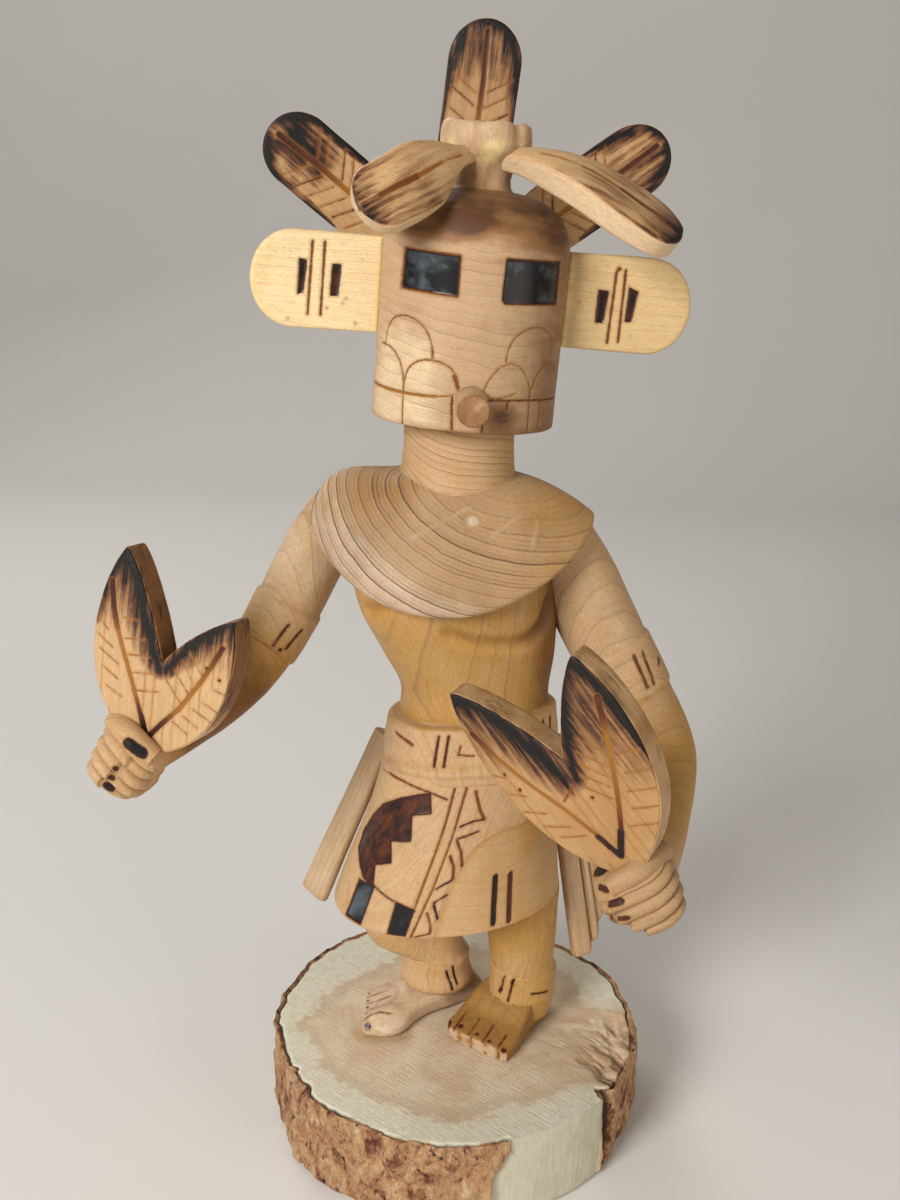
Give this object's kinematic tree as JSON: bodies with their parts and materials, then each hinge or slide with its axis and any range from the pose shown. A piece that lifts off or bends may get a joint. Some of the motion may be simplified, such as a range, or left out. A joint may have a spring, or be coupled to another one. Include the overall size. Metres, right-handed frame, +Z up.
{
  "type": "carved wooden kachina doll",
  "caption": "Carved cottonwood-style figure in a case mask with flat ears and a crest of wooden feathers, holding split feather plates, standing on a slice of log.",
  "frame": {"origin": "centre of the log slice's underside, on the surface the doll stands on", "axes": "+Z up the figure, -Y the way the mask faces, +X towards the doll's left hand"},
  "size_m": [0.1287, 0.0987, 0.2525],
  "materials": {
    "bark_slice": "sawn pale wood with rough red-brown bark round the rim",
    "figure_wood": "knife-carved honey-coloured wood under a thin satin varnish",
    "mask_wood": "sanded tan wood with burnt eyes and incised lines",
    "ear_wood": "pale yellow pine with burnt strokes",
    "feather_wood": "tan wood, scored and scorched dark at the tips",
    "sash_wood": "plain split wood, unvarnished"
  },
  "bodies": {
    "root": {"log_slice_base": "bark_slice", "carved_figure": "figure_wood", "right_arm": "figure_wood", "left_arm": "figure_wood", "right_hand_feathers": "feather_wood", "left_hand_feathers": "feather_wood", "case_mask": "mask_wood", "snout": "mask_wood", "crown_peg": "mask_wood", "right_ear": "ear_wood", "left_ear": "ear_wood", "fan_feather_right": "feather_wood", "fan_feather_middle": "feather_wood", "fan_feather_left": "feather_wood", "brow_feather_right": "feather_wood", "brow_feather_left": "feather_wood", "right_hip_sash": "sash_wood", "left_hip_sash": "sash_wood"}
  },
  "joints": []
}
